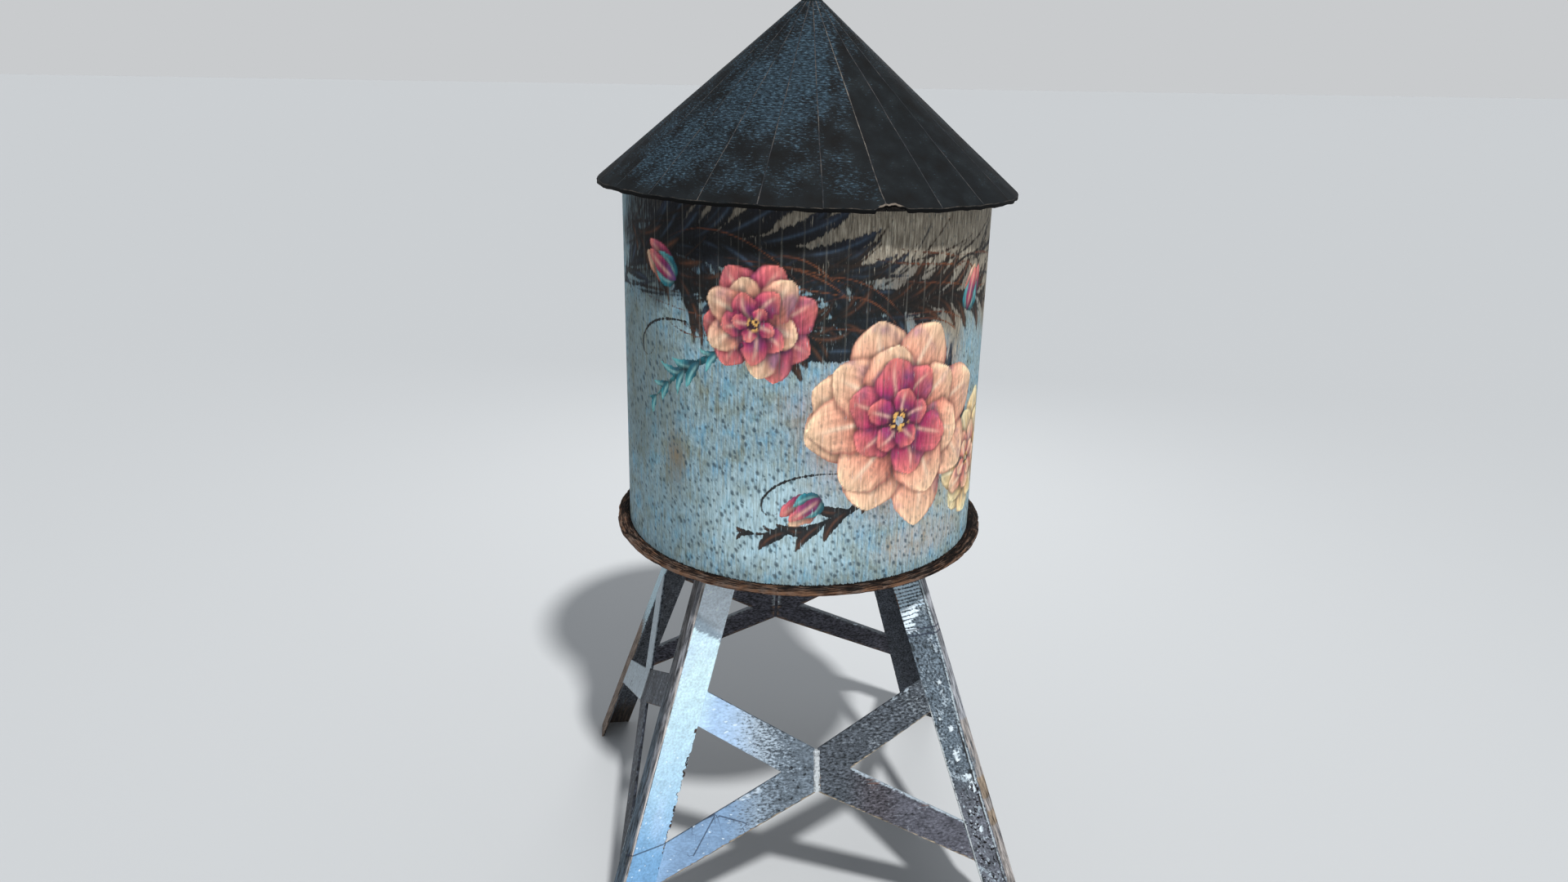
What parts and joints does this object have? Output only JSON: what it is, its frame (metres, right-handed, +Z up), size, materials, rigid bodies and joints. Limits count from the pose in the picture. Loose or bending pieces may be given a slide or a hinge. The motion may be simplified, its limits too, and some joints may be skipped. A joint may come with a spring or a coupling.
{
  "type": "water tower",
  "caption": "Round timber water tank with a dark cone roof on a timber deck, standing on leaning steel angle legs with flat X braces; faded paint, grime and rust.",
  "frame": {"origin": "on the ground, at the middle of the four feet", "axes": "+Z up along the tower's axis, -Y towards the front face, +X to the right as seen from the front"},
  "size_m": [3.1534, 3.1534, 6.364],
  "materials": {
    "roof_sheet": "dark charcoal roof covering, matt, with blue-grey weathered patches",
    "tank_paint": "faded pale blue-grey paint on upright boards, matt, streaked and speckled",
    "deck_timber": "bare weathered brown timber, rough",
    "pale_steel_paint": "pale blue-white paint on steel plate, satin, dulled and speckled",
    "dark_steel_paint": "mottled dark grey paint on steel plate with white drips and rust at the edges",
    "weld_paint": "light grey painted weld bead"
  },
  "bodies": {
    "root": {"brace_back_lower_left": "dark_steel_paint", "brace_back_lower_right": "dark_steel_paint", "brace_back_upper_left": "dark_steel_paint", "brace_back_upper_right": "dark_steel_paint", "brace_front_lower_left": "pale_steel_paint", "brace_front_lower_right": "dark_steel_paint", "brace_front_upper_left": "pale_steel_paint", "brace_front_upper_right": "dark_steel_paint", "brace_left_lower_left": "dark_steel_paint", "brace_left_lower_right": "pale_steel_paint", "brace_left_upper_left": "dark_steel_paint", "brace_left_upper_right": "pale_steel_paint", "brace_right_lower_left": "dark_steel_paint", "brace_right_lower_right": "dark_steel_paint", "brace_right_upper_left": "dark_steel_paint", "brace_right_upper_right": "dark_steel_paint", "deck": "deck_timber", "hub_weld_back": "weld_paint", "hub_weld_front": "weld_paint", "hub_weld_left": "weld_paint", "hub_weld_right": "weld_paint", "leg_back_left": "pale_steel_paint", "leg_back_right": "dark_steel_paint", "leg_front_left": "pale_steel_paint", "leg_front_right": "dark_steel_paint", "roof_panel_1": "roof_sheet", "roof_panel_2": "roof_sheet", "roof_panel_3": "roof_sheet", "roof_panel_4": "roof_sheet", "roof_panel_5": "roof_sheet", "roof_panel_6": "roof_sheet", "roof_panel_7": "roof_sheet", "roof_panel_8": "roof_sheet", "roof_tip": "roof_sheet", "tank_wall_01": "tank_paint", "tank_wall_02": "tank_paint", "tank_wall_03": "tank_paint", "tank_wall_04": "tank_paint", "tank_wall_05": "tank_paint", "tank_wall_06": "tank_paint", "tank_wall_07": "tank_paint", "tank_wall_08": "tank_paint", "tank_wall_09": "tank_paint", "tank_wall_10": "tank_paint"}
  },
  "joints": []
}
